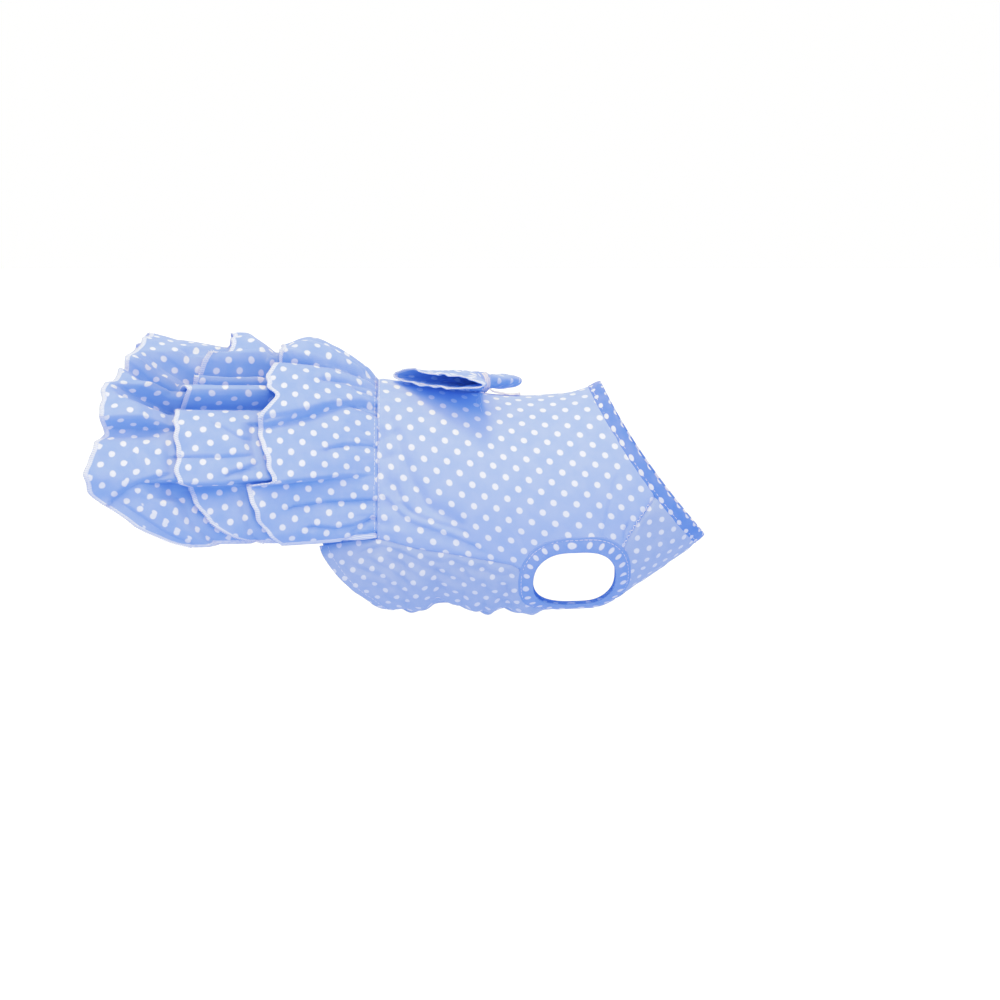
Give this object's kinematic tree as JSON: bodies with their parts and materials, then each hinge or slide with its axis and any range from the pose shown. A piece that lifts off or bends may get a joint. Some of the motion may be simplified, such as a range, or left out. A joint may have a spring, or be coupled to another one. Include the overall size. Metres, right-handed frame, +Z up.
{
  "type": "dog dress",
  "caption": "Small dog's polka dot cotton dress: fitted bodice with bound neck and leg holes, tiers of gathered ruffles behind the waist, and a ribbon-tied bow on the back.",
  "frame": {"origin": "inside of the back panel on its centre line, where the dress rests on the dog's back", "axes": "+X along the back towards the neck, +Y towards the dog's left side, +Z up"},
  "size_m": [0.3102, 0.127, 0.1401],
  "materials": {
    "dotted_cotton": "matte light blue cotton with small white polka dots",
    "binding": "matte blue dotted cotton, folded and stitched",
    "ribbon": "soft off-white ribbon with fine ribs"
  },
  "bodies": {
    "root": {"back_panel": "dotted_cotton", "belly_panel": "dotted_cotton", "neck_binding": "binding", "right_armhole_binding": "binding", "left_armhole_binding": "binding", "top_ruffle": "dotted_cotton", "middle_ruffle": "dotted_cotton", "bottom_ruffle": "dotted_cotton", "right_bow_loop": "dotted_cotton", "left_bow_loop": "dotted_cotton", "bow_knot": "ribbon", "ribbon_end": "ribbon"}
  },
  "joints": []
}
